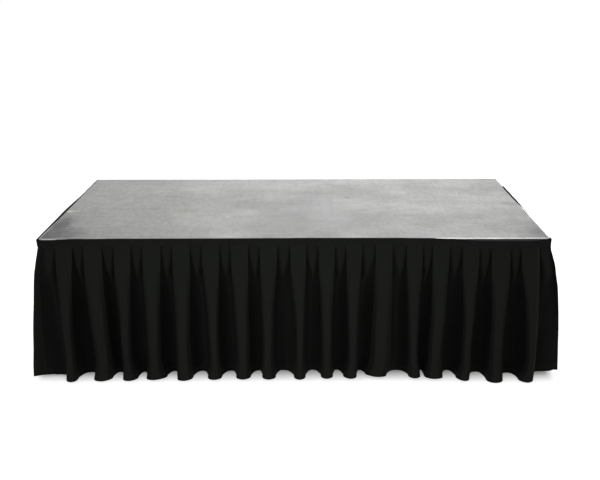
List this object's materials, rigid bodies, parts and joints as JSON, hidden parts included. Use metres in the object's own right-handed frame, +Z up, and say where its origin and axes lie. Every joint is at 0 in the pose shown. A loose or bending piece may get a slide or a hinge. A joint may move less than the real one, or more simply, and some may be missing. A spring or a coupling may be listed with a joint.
{
  "type": "stage riser platform",
  "caption": "Rectangular stage deck with a worn grey board, aluminium rail frame, telescopic levelling legs and a black box-pleated skirt on the front and both ends.",
  "frame": {"origin": "on the floor, under the middle of the whole object with its legs pushed in", "axes": "+X along the deck, +Z up; -Y is the skirted front that the audience sees"},
  "size_m": [2.1454, 1.0588, 0.6],
  "materials": {
    "phenolic_board": "worn matt grey",
    "rail_aluminium": "extruded, scuffed",
    "tube_aluminium": "mill",
    "cast_aluminium": "sand cast",
    "zinc_steel": "zinc plated",
    "knob_plastic": "moulded",
    "black_nylon": "moulded",
    "sole_rubber": "matt",
    "damping_rubber": "matt",
    "fastener_tape": "looped pile",
    "header_band": "woven, stitched twice",
    "skirt_cloth": "woven polyester"
  },
  "bodies": {
    "root": {"deck_board": "phenolic_board", "rail_front": "rail_aluminium", "rail_rear": "rail_aluminium", "rail_left": "rail_aluminium", "rail_right": "rail_aluminium", "cross_bearers": "tube_aluminium", "bearer_cleats": "zinc_steel", "cleat_screws": "zinc_steel", "damping_strips": "damping_rubber", "board_screws": "zinc_steel", "socket_screws": "zinc_steel", "leg_cross_bolts": "zinc_steel", "leg_collars": "cast_aluminium", "collar_screws": "zinc_steel", "leg_bushes": "black_nylon", "leg_stops": "zinc_steel", "loop_tapes": "fastener_tape", "hook_tapes": "fastener_tape", "skirt_front": "skirt_cloth", "skirt_header_front": "header_band", "skirt_left": "skirt_cloth", "skirt_header_left": "header_band", "skirt_right": "skirt_cloth", "skirt_header_right": "header_band", "corner_socket_front_left": "cast_aluminium", "leg_outer_front_left": "tube_aluminium", "corner_socket_front_right": "cast_aluminium", "leg_outer_front_right": "tube_aluminium", "corner_socket_rear_left": "cast_aluminium", "leg_outer_rear_left": "tube_aluminium", "corner_socket_rear_right": "cast_aluminium", "leg_outer_rear_right": "tube_aluminium"},
    "leg_front_left": {"leg_inner_front_left": "tube_aluminium", "leg_glide_front_left": "black_nylon"},
    "foot_front_left": {"foot_pad_front_left": "zinc_steel", "foot_sole_front_left": "sole_rubber"},
    "spindle_front_left": {"foot_spindle_front_left": "zinc_steel"},
    "clamp_front_left": {"clamp_pad_front_left": "zinc_steel"},
    "knob_front_left": {"clamp_knob_front_left": "knob_plastic"},
    "leg_front_right": {"leg_inner_front_right": "tube_aluminium", "leg_glide_front_right": "black_nylon"},
    "foot_front_right": {"foot_pad_front_right": "zinc_steel", "foot_sole_front_right": "sole_rubber"},
    "spindle_front_right": {"foot_spindle_front_right": "zinc_steel"},
    "clamp_front_right": {"clamp_pad_front_right": "zinc_steel"},
    "knob_front_right": {"clamp_knob_front_right": "knob_plastic"},
    "leg_rear_left": {"leg_inner_rear_left": "tube_aluminium", "leg_glide_rear_left": "black_nylon"},
    "foot_rear_left": {"foot_pad_rear_left": "zinc_steel", "foot_sole_rear_left": "sole_rubber"},
    "spindle_rear_left": {"foot_spindle_rear_left": "zinc_steel"},
    "clamp_rear_left": {"clamp_pad_rear_left": "zinc_steel"},
    "knob_rear_left": {"clamp_knob_rear_left": "knob_plastic"},
    "leg_rear_right": {"leg_inner_rear_right": "tube_aluminium", "leg_glide_rear_right": "black_nylon"},
    "foot_rear_right": {"foot_pad_rear_right": "zinc_steel", "foot_sole_rear_right": "sole_rubber"},
    "spindle_rear_right": {"foot_spindle_rear_right": "zinc_steel"},
    "clamp_rear_right": {"clamp_pad_rear_right": "zinc_steel"},
    "knob_rear_right": {"clamp_knob_rear_right": "knob_plastic"}
  },
  "joints": [
    {"name": "leg_slide_front_left", "type": "slide", "parent": "root", "child": "leg_front_left", "axis": [0, 0, -1], "range_m": [0, 0.4]},
    {"name": "foot_travel_front_left", "type": "slide", "parent": "leg_front_left", "child": "foot_front_left", "axis": [0, 0, -1], "range_m": [0, 0.03]},
    {"name": "foot_turn_front_left", "type": "hinge", "parent": "foot_front_left", "child": "spindle_front_left", "pos_m": [-0.885, -0.35563, 0.013], "axis": [0, 0, -1], "range_deg": [0, 5400]},
    {"name": "clamp_travel_front_left", "type": "slide", "parent": "root", "child": "clamp_front_left", "axis": [1, 0, 0], "range_m": [0, 0.00525]},
    {"name": "knob_turn_front_left", "type": "hinge", "parent": "clamp_front_left", "child": "knob_front_left", "pos_m": [-0.885, -0.35563, 0.095], "axis": [1, 0, 0], "range_deg": [0, 1080]},
    {"name": "leg_slide_front_right", "type": "slide", "parent": "root", "child": "leg_front_right", "axis": [0, 0, -1], "range_m": [0, 0.4]},
    {"name": "foot_travel_front_right", "type": "slide", "parent": "leg_front_right", "child": "foot_front_right", "axis": [0, 0, -1], "range_m": [0, 0.03]},
    {"name": "foot_turn_front_right", "type": "hinge", "parent": "foot_front_right", "child": "spindle_front_right", "pos_m": [0.885, -0.35563, 0.013], "axis": [0, 0, -1], "range_deg": [0, 5400]},
    {"name": "clamp_travel_front_right", "type": "slide", "parent": "root", "child": "clamp_front_right", "axis": [-1, 0, 0], "range_m": [0, 0.00525]},
    {"name": "knob_turn_front_right", "type": "hinge", "parent": "clamp_front_right", "child": "knob_front_right", "pos_m": [0.885, -0.35563, 0.095], "axis": [-1, 0, 0], "range_deg": [0, 1080]},
    {"name": "leg_slide_rear_left", "type": "slide", "parent": "root", "child": "leg_rear_left", "axis": [0, 0, -1], "range_m": [0, 0.4]},
    {"name": "foot_travel_rear_left", "type": "slide", "parent": "leg_rear_left", "child": "foot_rear_left", "axis": [0, 0, -1], "range_m": [0, 0.03]},
    {"name": "foot_turn_rear_left", "type": "hinge", "parent": "foot_rear_left", "child": "spindle_rear_left", "pos_m": [-0.885, 0.41437, 0.013], "axis": [0, 0, -1], "range_deg": [0, 5400]},
    {"name": "clamp_travel_rear_left", "type": "slide", "parent": "root", "child": "clamp_rear_left", "axis": [1, 0, 0], "range_m": [0, 0.00525]},
    {"name": "knob_turn_rear_left", "type": "hinge", "parent": "clamp_rear_left", "child": "knob_rear_left", "pos_m": [-0.885, 0.41437, 0.095], "axis": [1, 0, 0], "range_deg": [0, 1080]},
    {"name": "leg_slide_rear_right", "type": "slide", "parent": "root", "child": "leg_rear_right", "axis": [0, 0, -1], "range_m": [0, 0.4]},
    {"name": "foot_travel_rear_right", "type": "slide", "parent": "leg_rear_right", "child": "foot_rear_right", "axis": [0, 0, -1], "range_m": [0, 0.03]},
    {"name": "foot_turn_rear_right", "type": "hinge", "parent": "foot_rear_right", "child": "spindle_rear_right", "pos_m": [0.885, 0.41437, 0.013], "axis": [0, 0, -1], "range_deg": [0, 5400]},
    {"name": "clamp_travel_rear_right", "type": "slide", "parent": "root", "child": "clamp_rear_right", "axis": [-1, 0, 0], "range_m": [0, 0.00525]},
    {"name": "knob_turn_rear_right", "type": "hinge", "parent": "clamp_rear_right", "child": "knob_rear_right", "pos_m": [0.885, 0.41437, 0.095], "axis": [-1, 0, 0], "range_deg": [0, 1080]}
  ],
  "couplings": [
    {"joint": "foot_turn_front_left", "follows": "foot_travel_front_left", "rad_per_m": 3141.6},
    {"joint": "knob_turn_front_left", "follows": "clamp_travel_front_left", "rad_per_m": 3590.4},
    {"joint": "foot_turn_front_right", "follows": "foot_travel_front_right", "rad_per_m": 3141.6},
    {"joint": "knob_turn_front_right", "follows": "clamp_travel_front_right", "rad_per_m": 3590.4},
    {"joint": "foot_turn_rear_left", "follows": "foot_travel_rear_left", "rad_per_m": 3141.6},
    {"joint": "knob_turn_rear_left", "follows": "clamp_travel_rear_left", "rad_per_m": 3590.4},
    {"joint": "foot_turn_rear_right", "follows": "foot_travel_rear_right", "rad_per_m": 3141.6},
    {"joint": "knob_turn_rear_right", "follows": "clamp_travel_rear_right", "rad_per_m": 3590.4}
  ]
}
